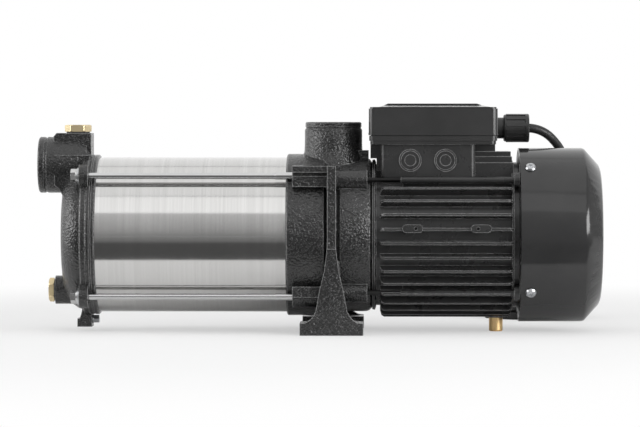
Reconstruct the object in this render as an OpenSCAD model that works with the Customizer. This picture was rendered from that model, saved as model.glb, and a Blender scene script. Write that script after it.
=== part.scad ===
// Multistage surface pump: end suction, stainless barrel, close coupled motor
// Frame: +X towards the fan, +Z up, origin on the floor under the foot centre, millimetres

/* [Main sizes] */
// height of the shaft above the floor
shaft_z = 80; // [70:1:100]
// outside diameter of the stainless barrel
barrel_d = 128; // [110:1:150]
// wall of the barrel
barrel_t = 1.5; // [1:0.1:3]
// length of the barrel
barrel_len = 170; // [120:1:220]
// how many stages the barrel holds
stages = 5; // [3:1:6]
// diameter of the impellers
impeller_d = 92; // [70:1:100]
// radius of the shaft in the stages
shaft_r = 7; // [6:0.1:7.5]
// radius of the shaft under the seal
seal_r = 8; // [7.6:0.1:8.4]

/* [Ports] */
// outside diameter of the port bosses
port_d = 46.4; // [40:0.5:55]
// radius of the threaded port wall
port_bore_r = 15.15; // [10:0.05:20]
// height of the suction port above the shaft
suction_up = 57.8; // [40:0.5:70]
// radius of the priming and drain holes
plug_hole_r = 7.6; // [6:0.1:8]
// thickness of the plugs' seals
seal_t = 1; // [0.5:0.1:2]
// height of the outlet face above the floor
outlet_top = 173.3; // [150:0.5:200]

/* [Foot] */
// half length of a foot pad
foot_half = 25.8; // [20:0.5:40]
// thickness of a foot pad
foot_t = 10; // [6:0.5:14]
// bolt spacing along the pump
foot_bolt_x = 37; // [30:1:50]
// bolt spacing across the pump
foot_bolt_y = 104; // [90:1:120]
// radius of the foot bolt holes
foot_hole_r = 4.5; // [3:0.5:6]

/* [Motor] */
// radius of the housing at the fin roots
root_r = 58.5; // [57:0.5:62]
// radius of the fin tips
fin_r = 68.2; // [64:0.2:75]
// angle between two fins
fin_pitch = 10; // [8:0.5:15]
// thickness of a fin
fin_t = 2; // [1:0.1:4]
// length of the motor housing
motor_len = 115.6; // [100:0.1:140]
// wall of the motor housing under the fins
housing_wall = 3.5; // [2.5:0.1:6]
// outside radius of the fan cover
cover_r = 71.8; // [68:0.2:80]
// sheet thickness of the fan cover
cover_t = 1.6; // [1:0.1:2.5]
// half width of the terminal box lid
box_half = 45.4; // [42:0.2:50]
// height of the terminal box floor above the fan cover
box_gap = 3.2; // [2:0.1:12]

/* [Cord] */
// diameter of the mains cable
cable_d = 7.5; // [6:0.1:10]

/* [Look] */
// node to show

/* [Hidden] */
SH = shaft_z;
RB = barrel_d / 2;
RI = RB - barrel_t;
// running and fitting clearance
CL = 0.05;
// radius of the clamp flanges, of the groove's two walls and of the ring the bolts stand on
FR = RB + 2.9;
GO = RB + CL;
GI = RI - 0.1;
TB = (RB + 5.72) / sqrt(2);
MB = (root_r + 6.55) / sqrt(2);
// how far the suction end and the fan end move when a length changes
FS = 170 - barrel_len;
RS = motor_len - 115.6;
X0 = FS - 196;
P = (barrel_len - 17) / stages;
PR = port_d / 2;
PZ = SH + suction_up;
BZ = PZ + 26.4;
DZ = SH - 46;
FZ = SH - fin_r - 0.4;
TZ = SH + cover_r + box_gap;
LX = 135.5 + RS;
screw_angles = [39, 129, 219, 309];
GY = 24;
GZ = TZ + 13.3;
ER = impeller_d / 2;
stator_r = root_r - housing_wall;
EZ = SH - FR - 3.2;
EY = 19;
HR = shaft_r + 3;
CX = 176.5;
CY = 197;

// solids turned about the shaft line, from points [x, r]
module rev(p) translate([0, 0, SH]) rotate([0, 90, 0]) rotate_extrude($fn = 96)
  polygon([for (q = p) [q[1], q[0]]]);
module ring(x0, x1, ri, ro) rev([[x0, ri], [x1, ri], [x1, ro], [x0, ro]]);
module xc(x0, x1, r) translate([x0, 0, SH]) rotate([0, 90, 0]) cylinder(r = r, h = x1 - x0, $fn = 96);
module xcat(x0, x1, r, y, z) translate([x0, y, z]) rotate([0, 90, 0]) cylinder(r = r, h = x1 - x0, $fn = 64);
module xhex(x0, x1, af, y, z) translate([x0, y, z]) rotate([0, 90, 0]) rotate([0, 0, 30])
  cylinder(r = af / 2 / cos(30), h = x1 - x0, $fn = 6);
module zc(z0, z1, r, x, y) translate([x, y, z0]) cylinder(r = r, h = z1 - z0, $fn = 64);
module box(x0, x1, y0, y1, z0, z1) translate([x0, y0, z0]) cube([x1 - x0, y1 - y0, z1 - z0]);
// a drawing in the Y, Z plane pushed along X
module ext_x(x0, x1) translate([x0, 0, SH]) rotate([90, 0, 90]) linear_extrude(height = x1 - x0) children();
// a drawing in the X, Z plane pushed along Y, between y0 and y1
module ext_y(y0, y1) translate([0, y1, 0]) rotate([90, 0, 0]) linear_extrude(height = y1 - y0) children();
module at_angle(a) translate([0, 0, SH]) rotate([a, 0, 0]) children();
module both_sides() {
  children();
  mirror([0, 1, 0]) children();
}
module four_corners(d) for (sy = [-1, 1]) for (sz = [-1, 1]) translate([0, sy * d, SH + sz * d]) children();
module rrect(x0, x1, y0, y1, r) translate([x0, y0]) union() {
  translate([r, 0]) square([x1 - x0 - 2 * r, y1 - y0]);
  translate([0, r]) square([x1 - x0, y1 - y0 - 2 * r]);
  for (i = [r, x1 - x0 - r]) for (j = [r, y1 - y0 - r]) translate([i, j]) circle(r = r, $fn = 48);
}
module plate_z(z0, z1, x0, x1, y0, y1, r) translate([0, 0, z0]) linear_extrude(height = z1 - z0)
  rrect(x0, x1, y0, y1, r);
// a curved blade between radii ra and rb that sweeps by s degrees
function blade(ra, rb, a0, s, t, n) = concat(
  [for (i = [0:n]) let (u = i / n, r = ra + (rb - ra) * u, a = a0 + s * u, d = t / 2 / r * 57.3)
    [r * cos(a - d), r * sin(a - d)]],
  [for (i = [n:-1:0]) let (u = i / n, r = ra + (rb - ra) * u, a = a0 + s * u, d = t / 2 / r * 57.3)
    [r * cos(a + d), r * sin(a + d)]]);

// suction cover
module front_end() translate([FS, 0, 0]) children();
module suction_cover() color([0.1, 0.1, 0.11]) front_end() difference() {
  union() {
    rev([[-222, 0], [-222, RB - 21], [-221.2, RB - 16], [-219, RB - 11], [-215.4, RB - 6.4], [-211, RB - 3.2],
      [-207, RB - 1.8], [-205.3, RB - 1.8], [-205.3, FR - 1], [-204.3, FR], [-200.6, FR], [-199.6, FR - 0.7],
      [-197.2, FR - 0.7], [-197.2, FR - 1.6], [-196.2, FR - 1.6], [-196.2, FR - 0.7], [-193.6, FR - 0.7],
      [-192.7, FR - 1.6], [-192.7, 0]]);
    translate([0, 0, PZ]) rotate([0, 90, 0]) rotate_extrude($fn = 96)
      polygon([[0, -243.1], [PR - 0.9, -243.1], [PR, -242.2], [PR, -238.2], [PR - 0.6, -237.4],
        [PR - 0.6, -236.6], [PR, -235.8], [PR, -212], [PR - 2.2, -203], [PR - 7.2, -199.6], [0, -199.6]]);
    ext_y(-13.5, 13.5) polygon([[-230.4, BZ - 2.9], [-228, BZ], [-199.3, BZ], [-199.3, SH + 40], [-222, SH + 40],
      [-230.4, PZ + 12]]);
    // neck that carries the port into the dome
    ext_y(1.2 - PR, PR - 1.2) polygon([[-229, PZ - 16.8], [-225, PZ - 19.8], [-222.5, PZ - 24.8], [-222, SH + 24],
      [-205.3, SH + 24], [-199.6, PZ - 7.8], [-199.6, PZ + 8.2], [-229, PZ + 8.2]]);
    xcat(-230, -207, 11.8, 0, DZ);
    for (a = [45, 135, 225, 315]) at_angle(a) union() {
      translate([-206, TB * sqrt(2), 0]) rotate([0, 90, 0]) cylinder(r = 9.4, h = 7.6, $fn = 64);
      translate([-206, 50, -9.4]) cube([7.6, TB * sqrt(2) - 50, 18.8]);
    }
    box(-211.4, -199.4, -9, 9, SH - FR - 9.5, SH - FR - 2.6);
    ext_y(-9, 9) polygon([[-209.6, SH - FR - 3], [-199.4, SH - FR - 3], [-199.4, SH - FR + 9],
      [-206.6, SH - FR + 9], [-208, SH - FR + 2]]);
  }
  // inner chamber, spigot and the groove for the barrel
  xc(-217.6, -205, RB - 10);
  xc(-205.5, -192, RB - 8);
  ring(-196, -192, RB - 14, GO);
  ring(-202.5, -195.5, GI, GO);
  xcat(-244, -217.5, port_bore_r, 0, PZ);
  box(-217.6, -204.5, -12, 12, SH + 32, PZ + 12.2);
  zc(PZ + 2.2, BZ + 0.8, plug_hole_r, -211.2, 0);
  xcat(-231, -214, plug_hole_r, 0, DZ);
  for (a = [45, 135, 225, 315]) at_angle(a) translate([-213, TB * sqrt(2), 0]) rotate([0, 90, 0])
    cylinder(r = 3.3, h = 25, $fn = 48);
  // room for the bolt heads beside the dome
  for (a = [45, 135, 225, 315]) at_angle(a) translate([-216, TB * sqrt(2), 0]) rotate([0, 90, 0])
    cylinder(r = 7.6, h = 10, $fn = 48);
  xcat(-204, -199, 2.5, 0, EZ);
}
// a brass plug: hexagon with chamfered corners, washer face and threaded shank, pointing along +Z
module plug(af, hex_h, under, shank) {
  translate([0, 0, under]) intersection() {
    cylinder(r = af / 2 / cos(30), h = hex_h, $fn = 6);
    rotate_extrude($fn = 64) polygon([[0, 0], [af * 0.53, 0], [af * 0.57, 0.5], [af * 0.57, hex_h - 0.8],
      [af * 0.51, hex_h], [0, hex_h]]);
  }
  translate([0, 0, -shank]) cylinder(r = plug_hole_r - 0.08, h = shank + under, $fn = 64);
}
module plug_ring(r, t) difference() {
  cylinder(r = r, h = t, $fn = 64);
  translate([0, 0, -1]) cylinder(r = plug_hole_r - 0.04, h = t + 2, $fn = 64);
}
module priming_plug() color([0.84, 0.7, 0.42]) front_end() translate([-211.2, 0, BZ]) plug(19.5, 5.8, seal_t, 8.8);
module priming_seal() color([0.12, 0.12, 0.12]) front_end() translate([-211.2, 0, BZ]) plug_ring(9.6, seal_t);
module drain_plug() color([0.84, 0.7, 0.42]) front_end() translate([-230, 0, DZ]) rotate([0, -90, 0])
  plug(17.4, 4.4, seal_t, 9.5);
module drain_seal() color([0.12, 0.12, 0.12]) front_end() translate([-230, 0, DZ]) rotate([0, -90, 0])
  plug_ring(8.6, seal_t);
module ground_screw() color([0.75, 0.75, 0.76]) front_end() union() {
  xcat(-203.8, -199.4, 2.45, 0, EZ);
  xcat(-199.4, -198.4, 3.5, 0, EZ);
  difference() {
    xhex(-198.4, -193.9, 6.2, 0, EZ);
    xcat(-194.6, -193, 1.6, 0, EZ);
  }
}
// barrel and bolts
module barrel() color([0.72, 0.72, 0.7]) ring(FS - 200, -30, RI, RB);
module barrel_gasket_front() color([0.08, 0.08, 0.08]) ring(FS - 202.5, FS - 200, RI - CL, RB);
module barrel_gasket_rear() color([0.08, 0.08, 0.08]) ring(-30, -27.5, RI - CL, RB);
module tie_bolts() color([0.78, 0.78, 0.78]) four_corners(TB) union() {
  xhexl(FS - 212.8, FS - 208.7, 10);
  xl(FS - 208.7, FS - 207.6, 5.9);
  xl(FS - 207.6, -46, 2.6);
  xl(-46, -13, 3);
}
module xl(x0, x1, r) translate([x0, 0, 0]) rotate([0, 90, 0]) cylinder(r = r, h = x1 - x0, $fn = 48);
module xhexl(x0, x1, af) translate([x0, 0, 0]) rotate([0, 90, 0]) cylinder(r = af / 2 / cos(30), h = x1 - x0, $fn = 6);
module tie_bolt_washers() color([0.78, 0.78, 0.78]) four_corners(TB) difference() {
  xl(FS - 207.6, FS - 206, 6.6);
  xl(FS - 208, FS - 205, 2.62);
}
// one stage
module stage_casing(i) color([0.68, 0.68, 0.68]) difference() {
  xc(X0 + i * P, X0 + i * P + P, RI - 0.15);
  xc(X0 + i * P + 2, X0 + i * P + P + 1, RI - 1.9);
  xc(X0 + i * P - 1, X0 + i * P + 3, EY + 0.1);
}
module diffuser(i) color([0.16, 0.16, 0.17]) difference() {
  union() {
    xc(X0 + i * P + 17.5, X0 + i * P + 20, RI - 9.5);
    ext_x(X0 + i * P + 2, X0 + i * P + 17.6)
      for (k = [0:8]) polygon(blade(ER + 2.2, RI - 2.9, k * 40, 24, 1.6, 4));
    ext_x(X0 + i * P + 19.9, X0 + i * P + P - 0.02)
      for (k = [0:6]) polygon(blade(21, RI - 10.5, k * 360 / 7, -38, 1.8, 6));
  }
  xc(X0 + i * P + 17, X0 + i * P + 21, HR + 0.1);
}
module impeller(i) color([0.7, 0.7, 0.72]) translate([X0 + i * P, 0, 0]) difference() {
  union() {
    rev([[0.5, EY - 1.8], [0.5, EY], [4, EY], [5, EY + 1], [6.6, ER], [8, ER], [6.6, EY + 1], [5, EY - 1.8]]);
    rev([[11, HR - 1], [12.6, HR + 5], [13, ER], [14.5, ER], [14.5, HR - 1]]);
    ext_x(6, 13.6) for (k = [0:5]) polygon(blade(EY + 1.4, ER - 0.6, k * 60, 62, 2, 6));
    xc(1, P + 1, HR);
  }
  xc(0, P + 2, shaft_r);
}
// shaft line
module shaft() color([0.7, 0.7, 0.7]) rev([[FS - 207, 0], [FS - 207, shaft_r - 1], [FS - 206, shaft_r],
  [-16, shaft_r], [-16, seal_r], [14.5, seal_r], [15, 8.5], [27, 8.5], [27, 10], [52, 10], [52, 11], [133 + RS, 11],
  [133 + RS, 9.5], [143 + RS, 9.5], [143 + RS, 7.5], [154 + RS, 7.5], [154 + RS, 6], [193.5 + RS, 6],
  [194 + RS, 5.5], [194 + RS, 0]]);
module impeller_nut() color([0.7, 0.7, 0.7]) difference() {
  union() {
    xc(FS - 197, FS - 195, 11.5);
    xhex(FS - 204.5, FS - 196.7, 19, 0, SH);
  }
  xc(FS - 206, FS - 194, shaft_r);
}
module spacer_sleeve() color([0.7, 0.7, 0.7]) ring(-42, -16, shaft_r, HR);
module seal_head() color([0.14, 0.14, 0.15]) union() {
  rev([[-14, seal_r], [-14, 11.5], [-9, 11.5], [-8, 10.3], [-6.5, 12], [-5, 10.3], [-3.5, 12], [-2, 10.8],
    [-2, seal_r]]);
  ring(-2, 2 - CL, seal_r, 11);
}
module seal_seat() color([0.86, 0.85, 0.8]) rev([[2, seal_r + 0.6], [2, 12.2], [3.5, 13], [8, 13],
  [8, seal_r + 0.6]]);
// a ball bearing: outer ring, balls with cage, inner ring
module b_outer(x, w, rb, ro, rp, rr) color([0.75, 0.75, 0.76]) difference() {
  ring(x, x + w, rp + rr * 0.6, ro);
  race(x + w / 2, rp, rr + 0.08);
}
module b_inner(x, w, ri, rp, rr) color([0.75, 0.75, 0.76]) difference() {
  ring(x, x + w, ri, rp - rr * 0.6);
  race(x + w / 2, rp, rr + 0.08);
}
module race(x, rp, rr) translate([x, 0, SH]) rotate([0, 90, 0]) rotate_extrude($fn = 64) translate([rp, 0])
  circle(r = rr, $fn = 48);
module b_balls(x, w, rp, rr, n) color([0.8, 0.8, 0.8]) union() {
  for (k = [0:n - 1]) at_angle(k * 360 / n) translate([x + w / 2, rp, 0]) sphere(r = rr, $fn = 32);
  ring(x + w / 2 - 1, x + w / 2 + 1, rp - rr * 0.4, rp + rr * 0.4);
}
// discharge bracket
UZ = SH + 57.6;
rib = [[3.5, UZ], [3.5, SH - 8], [4.8, SH - 19], [6, SH - 28], [8.4, SH - 38], [11, SH - 50], [12.7, SH - 60],
  [14.4, foot_t + 6.4], [17.3, foot_t + 2.7], [21, foot_t + 0.6], [foot_half, foot_t]];
RY = RB + 4.6;
FY = foot_bolt_y / 2 - 16;
module discharge_bracket() color([0.1, 0.1, 0.11]) difference() {
  union() {
    rev([[-37.5, 50], [-37.5, FR - 1.3], [-36.4, FR], [-6.6, FR], [-5.2, FR - 1.3], [-4.2, FR - 4.5],
      [4.4, FR - 5.5], [5.4, FR - 4.3], [7, FR - 3.3], [28, FR - 3.3], [31, FR - 4.3], [33, FR - 6.9], [33, 50]]);
    ring(-43, -37, 50, GI);
    xc(0.5, 33, 52);
    ring(33, 36, stator_r - 5, stator_r - CL);
    // outlet neck
    translate([0.8, 0, 0]) rotate_extrude($fn = 96) polygon([[0, SH + 50], [PR + 5.8, SH + 50],
      [PR + 4.3, SH + 59], [PR + 2.4, SH + 64], [PR + 0.9, SH + 69], [PR + 0.6, SH + 75],
      [PR + 0.6, outlet_top - 6.7], [PR - 0.2, outlet_top - 5.3], [PR - 0.6, outlet_top - 4.8],
      [PR, outlet_top - 4.1], [PR, outlet_top - 0.8], [PR - 0.8, outlet_top], [0, outlet_top]]);
    box(18, 30, -13, 13, SH + 55, SH + 70);
    both_sides() union() {
      xcat(-32, -3, 8.7, -TB, SH + TB);
      xcat(-32, -3, 8.7, -TB, SH - TB);
      box(-32, -3, -60, -40, SH + TB - 8.7, SH + TB);
      box(-32, -3, -60, -40, SH - TB, SH - TB + 8.7);
      xcat(3, 29, 8.2, -MB, SH + MB);
      xcat(3, 29, 8.2, -MB, SH - MB);
      box(-32, 3.5, 2.6 - RY, -38, UZ - 5.2, UZ);
      box(-3.4, 3.5, -RY - 0.4, -40, SH - 10, UZ);
      ext_y(-RY, 8.6 - RY) polygon(concat(rib, [[foot_half, 0], [-foot_half, 0]],
        [for (i = [len(rib) - 1:-1:0]) [-rib[i][0], rib[i][1]]]));
      ext_y(7.6 - RY, -FY) polygon([[9, 0], [9, 26], [6, SH - 20], [-6, SH - 20], [-9, 26], [-9, 0]]);
      plate_z(0, foot_t, -foot_half, foot_half, -RY, -FY, 1.5);
    }
  }
  // wet chamber, outlet and shaft holes
  xc(-44, -0.5, RB - 7);
  ring(-44, -27.5, GI, GO);
  zc(SH + 40, outlet_top + 2, port_bore_r, 0.8, 0);
  xc(-1, 8, 13 + CL);
  xc(-2, 2, 20);
  xc(7, 16, seal_r + 0.6);
  xc(14, 15.5, 17);
  xc(15, 34, 20.02);
  ring(19, 37, 26, stator_r - 4.5);
  four_corners(TB) xl(-38, -12, 3.02);
  four_corners(MB) xl(7, 36.5, 2.0);
  for (sx = [-1, 1]) for (sy = [-1, 1])
    zc(-1, foot_t + 1, foot_hole_r, sx * foot_bolt_x / 2, sy * foot_bolt_y / 2);
}
// motor
module fin(a) at_angle(a) linear_extrude(height = fin_t, center = true)
  polygon([[39.4, root_r - 1.5], [39.4, fin_r - 5.5], [40.6, fin_r - 1.4], [42.6, fin_r], [145 + RS, fin_r],
    [147 + RS, fin_r - 1.6], [148 + RS, fin_r - 6], [148 + RS, root_r - 1.5]]);
module motor_housing() color([0.12, 0.12, 0.13]) difference() {
  union() {
    rev([[33, stator_r - 5], [33, root_r + 3.5], [35.2, root_r + 3.9], [36.2, root_r + 1.5], [36.2, root_r],
      [147 + RS, root_r], [147 + RS, root_r + 4], [148.6 + RS, root_r + 4],
      [148.6 + RS, stator_r - 5]]);
    for (k = [-4:7]) fin(184.5 + k * fin_pitch);
    for (k = [-4:7]) fin(-4.5 - k * fin_pitch);
    for (a = [-97, -90, -83]) fin(a);
    for (sy = [-1, 1]) for (sz = [-1, 1]) {
      translate([0, sy * MB, SH + sz * MB]) xl(56.4, 148.6 + RS, 2.8);
      at_angle(sz * (90 - sy * 45)) translate([58, root_r - 2.5, -1.9]) cube([90 + RS, 7, 3.8]);
    }
    plate_z(SH + 32, TZ, 40.4, 117, -40, 40, 3.5);
    box(31.5, 41, -24, 24, SH + root_r + 4.9, TZ);
    box(36.5, 134, -24, 24, SH + 40, TZ);
    box(116, 148.4 + RS, -36, 36, SH + 32, TZ - 15);
    box(116, 147.4 + RS, -33, 33, TZ - 16, TZ - 10);
    box(116, 146.6 + RS, -28, 28, TZ - 11, TZ - 5.9);
    for (x = [64.1, 92.9]) translate([x, -40, TZ - 13]) rotate([90, 0, 0]) union() {
      difference() {
        cylinder(r = 9.1, h = 0.7, $fn = 64);
        translate([0, 0, -1]) cylinder(r = 7.6, h = 3, $fn = 64);
      }
      cylinder(r = 4.6, h = 0.5, $fn = 64);
    }
    zc(FZ, FZ + 14, 8, LX, 0);
    // rating plate pads
    for (x = [65.7, 121.4]) ext_y(-fin_r - 1, -root_r) union() {
      translate([x - 5, SH + 3.6]) square([10, 6.6]);
      for (s = [-5, 5]) translate([x + s, SH + 6.9]) circle(r = 3.3, $fn = 48);
    }
  }
  xc(32, 150 + RS, stator_r + 0.02);
  for (x = [68.4, 118.9]) translate([x, -fin_r - 2, SH + 6.9]) rotate([-90, 0, 0])
    cylinder(r = 1.35, h = 6, $fn = 32);
  four_corners(MB) xl(32, 150 + RS, 2.02);
  zc(FZ - 1, FZ + 9, 4.05, LX, 0);
  zc(SH + 40, TZ + 1, 11, 78, 0);
  for (x = [48, 109]) for (y = [-30, 30]) zc(TZ - 7, TZ + 1, 2.05, x, y);
}
module stator_core() color([0.45, 0.45, 0.47]) ext_x(55, 130) difference() {
  circle(r = stator_r, $fn = 96);
  circle(r = stator_r - 19.5, $fn = 96);
  for (k = [0:23]) rotate(k * 15) translate([stator_r - 18, -2.3]) square([12, 4.6]);
}
module stator_winding() color([0.72, 0.38, 0.2]) union() {
  rev([[43, stator_r - 16], [44, stator_r - 17], [54.9, stator_r - 17], [54.9, stator_r - 6], [50, stator_r - 3], [45, stator_r - 3],
    [43, stator_r - 5]]);
  rev([[130.1, stator_r - 17], [141, stator_r - 17], [142, stator_r - 16], [142, stator_r - 5], [140, stator_r - 3], [135, stator_r - 3],
    [130.1, stator_r - 6]]);
  ext_x(54.5, 130.5) for (k = [0:23]) rotate(k * 15) translate([stator_r - 16.8, -2.1]) square([10.2, 4.2]);
}
module rotor_core() color([0.6, 0.6, 0.62]) difference() {
  union() {
    xc(54, 131, stator_r - 19.9);
    ring(49, 54.1, 24, stator_r - 21);
    ring(130.9, 136, 24, stator_r - 21);
    for (k = [0:7]) at_angle(k * 45) translate([46, 25, -1.2]) cube([93, 7, 2.4]);
  }
  xc(40, 145, 11);
}
module rear_end() translate([RS, 0, 0]) children();
module rear_shield() color([0.1, 0.1, 0.11]) rear_end() difference() {
  union() {
    rev([[148.6, 0], [148.6, root_r + 1.5], [152.6, root_r + 1.5], [154.2, cover_r - cover_t - 0.3],
      [156.4, cover_r - cover_t - 0.3], [156.4, root_r - 4], [153.1, root_r - 4.5], [153.1, 24], [156.5, 22],
      [156.5, 0]]);
    four_corners(MB) xl(148.8, 153.5, 6.2);
    ring(143.8, 149, stator_r - 5, stator_r - CL);
    xc(142.6, 150, 22);
    for (a = screw_angles) at_angle(a) intersection() {
      translate([153, 54, -8]) cube([14, 20, 16]);
      translate([150, 0, 0]) rotate([0, 90, 0]) cylinder(r = cover_r - cover_t - 0.02, h = 20, $fn = 96);
    }
    for (k = [0:7]) at_angle(k * 45 + 22.5) translate([144, 20, -1.5]) cube([5, stator_r - 23, 3]);
  }
  xc(140, 154, 17.52);
  xc(150, 158, 8.2);
  for (a = screw_angles) at_angle(a) translate([162, 40, 0]) rotate([-90, 0, 0])
    cylinder(r = 2, h = 40, $fn = 32);
  four_corners(MB) xl(140, 154, 2.02);
  four_corners(MB) xl(153.1, 158.5, 6.4);
}
module motor_bolts() color([0.4, 0.4, 0.42]) four_corners(MB) union() {
  xl(8, 153.1 + RS, 1.9);
  xhexl(153.1 + RS, 157 + RS, 8);
}
module support_leg() color([0.8, 0.62, 0.33]) union() {
  translate([LX, 0, 0]) rotate_extrude($fn = 64) polygon([[0, 0], [4.9, 0], [5.7, 0.8], [5.7, FZ], [0, FZ]]);
  zc(FZ, FZ + 8.8, 4, LX, 0);
}
module fan() color([0.15, 0.15, 0.16]) rear_end() difference() {
  union() {
    xc(170, 192, 10);
    xc(172, 174, 24);
    for (k = [0:8]) at_angle(k * 40) linear_extrude(height = 2, center = true)
      polygon([[173, 8], [190, 8], [190, 26], [186, cover_r - 11.8], [168, cover_r - 11.8], [168, 40], [172.5, 24]]);
    ring(172, 174, 52, 56);
  }
  xc(160, 200, 6.01);
}
module fan_cover() color([0.14, 0.14, 0.15]) rear_end() difference() {
  rev([[153.8, cover_r - cover_t], [153.8, cover_r], [206, cover_r], [208, cover_r - 0.7],
    [219.6, cover_r - 13.6], [220.9, cover_r - 16.6], [222.3, 0], [222.3 - cover_t, 0],
    [220.9 - cover_t, cover_r - 17.4], [219.8 - cover_t, cover_r - 14.6], [208.6 - cover_t, cover_r - 0.8 - cover_t],
    [207 - cover_t, cover_r - cover_t]]);
  for (r = [14, 21, 28, 35, 42, 49]) for (q = [0:3]) translate([216, 0, SH]) rotate([0, 90, 0])
    rotate([0, 0, q * 90 + 90 / r + 3]) rotate_extrude(angle = 84 - 180 / r, $fn = 96) translate([r, 0])
    square([4, 8]);
  for (a = screw_angles) at_angle(a) translate([162, 60, 0]) rotate([-90, 0, 0])
    cylinder(r = 2.2, h = 20, $fn = 32);
}
module cover_screws() color([0.78, 0.78, 0.8]) rear_end() for (a = screw_angles) at_angle(a)
  translate([162, cover_r, 0]) rotate([-90, 0, 0]) difference() {
    union() {
      translate([0, 0, -11.8]) cylinder(r = 1.98, h = 12.5, $fn = 32);
      rotate_extrude($fn = 48) polygon([[0, 0.1], [4.45, 0.1], [4.45, 0.9], [3.6, 2.2], [2.2, 2.7], [0, 2.8]]);
    }
    for (t = [0, 90]) rotate([0, 0, t + 20]) translate([-2.3, -0.45, 1.6]) cube([4.6, 0.9, 3]);
  }
// terminal box
module terminal_base() color([0.1, 0.1, 0.1]) difference() {
  union() {
    plate_z(TZ, TZ + 3, 31.4, 134.2, 1.8 - box_half, box_half - 1.8, 4.5);
    plate_z(TZ + 2.9, TZ + 6.9, 30.5, 135.1, 0.8 - box_half, box_half - 0.8, 5);
  }
  plate_z(TZ + 2.6, TZ + 8, 34.4, 131.2, 4.6 - box_half, box_half - 4.6, 3);
  gland_notch();
  zc(TZ - 5, TZ + 5, 11, 78, 0);
  for (x = [48, 109]) for (y = [-30, 30]) zc(TZ - 5, TZ + 5, 2.2, x, y);
}
module terminal_gasket() color([0.05, 0.05, 0.05]) difference() {
  plate_z(TZ + 6.9, TZ + 7.5, 31.6, 134, 1.8 - box_half, box_half - 1.8, 4.5);
  plate_z(TZ + 6, TZ + 8, 34.4, 131.2, 4.6 - box_half, box_half - 4.6, 3);
  gland_notch();
}
// room for the gland's locknut inside the rim
module gland_notch() {
  box(128, 133.1, GY - 12.4, GY + 12.4, GZ - 10.9, TZ + 8);
  xcat(132, 137, 8.02, GY, GZ);
}
module lid_corners() for (x = [36.5, 129.1]) for (y = [6.5 - box_half, box_half - 6.5]) translate([x, y, TZ])
  children();
module terminal_lid() color([0.08, 0.08, 0.08]) difference() {
  union() {
    plate_z(TZ + 7.5, TZ + 9.4, 29.9, 135.7, 0.2 - box_half, box_half - 0.2, 5);
    plate_z(TZ + 9.3, TZ + 29.2, 30.1, 135.5, 0.4 - box_half, box_half - 0.4, 5);
    plate_z(TZ + 29.1, TZ + 30.5, 31.1, 134.5, 1.4 - box_half, box_half - 1.4, 4.5);
    ext_y(7.4 - box_half, box_half - 7.4) polygon([[38, TZ + 30.2], [46, TZ + 33.7], [120, TZ + 33.7],
      [130, TZ + 30.2]]);
  }
  difference() {
    plate_z(TZ + 7, TZ + 28, 32.6, 133, 3 - box_half, box_half - 3, 3);
    lid_corners() translate([0, 0, 6]) cylinder(r = 4, h = 23, $fn = 48);
  }
  xcat(132, 137, 8.02, GY, GZ);
  lid_corners() {
    translate([0, 0, 5]) cylinder(r = 1.8, h = 27, $fn = 48);
    translate([0, 0, 28.6]) cylinder(r = 3.2, h = 4, $fn = 48);
  }
}
module lid_screws() color([0.7, 0.7, 0.7]) lid_corners() difference() {
  union() {
    translate([0, 0, 7.9]) cylinder(r = 1.75, h = 20.8, $fn = 48);
    translate([0, 0, 28.6]) cylinder(r = 3, h = 1.8, $fn = 48);
  }
  for (t = [0, 90]) rotate([0, 0, t]) translate([-2, -0.4, 29.6]) cube([4, 0.8, 2]);
}
module terminal_block() color([0.9, 0.9, 0.86]) translate([0, 0, TZ]) difference() {
  box(50, 96, -30, -14, 2.6, 16);
  for (x = [56:9:92]) {
    zc(8, 17, 2.6, x, -22);
    translate([x, -31, 7]) rotate([-90, 0, 0]) cylinder(r = 1.9, h = 20, $fn = 32);
  }
  for (x = [60.5:9:88]) box(x - 0.5, x + 0.5, -31, -13, 11, 17);
}
module capacitor() color([0.86, 0.86, 0.84]) translate([0, 0, TZ]) union() {
  xcat(44, 116, 12.4, 26, 15);
  xcat(116, 118, 9, 26, 15);
  box(118, 123, 21, 22, 12, 18);
  box(118, 123, 30, 31, 12, 18);
}
// gland and cable
module gland_body() color([0.09, 0.09, 0.09]) difference() {
  union() {
    xcat(126, 136.1, 8, GY, GZ);
    xhex(128.4, 132.9, 18.4, GY, GZ);
    xcat(136, 142.6, 8.8, GY, GZ);
    xcat(142.5, 150, 8, GY, GZ);
  }
  xcat(125, 151, cable_d / 2 + 0.45, GY, GZ);
}
module gland_nut() color([0.09, 0.09, 0.09]) difference() {
  union() {
    translate([0, GY, GZ]) rotate([0, 90, 0]) rotate_extrude($fn = 96)
      polygon([[8.02, 142.6], [10.6, 142.6], [11.2, 143.4], [11.2, 160.2], [11.9, 160.6], [11.9, 163], [11.2, 163.8],
        [cable_d / 2 + 0.03, 163.8], [cable_d / 2 + 0.03, 150], [8.02, 150]]);
    for (k = [0:11]) translate([0, GY, GZ]) rotate([k * 30 + 15, 0, 0]) translate([144.6, 10.4, -1.5])
      cube([16, 1.45, 3]);
  }
}
function unit(v) = v / norm(v);
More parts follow.
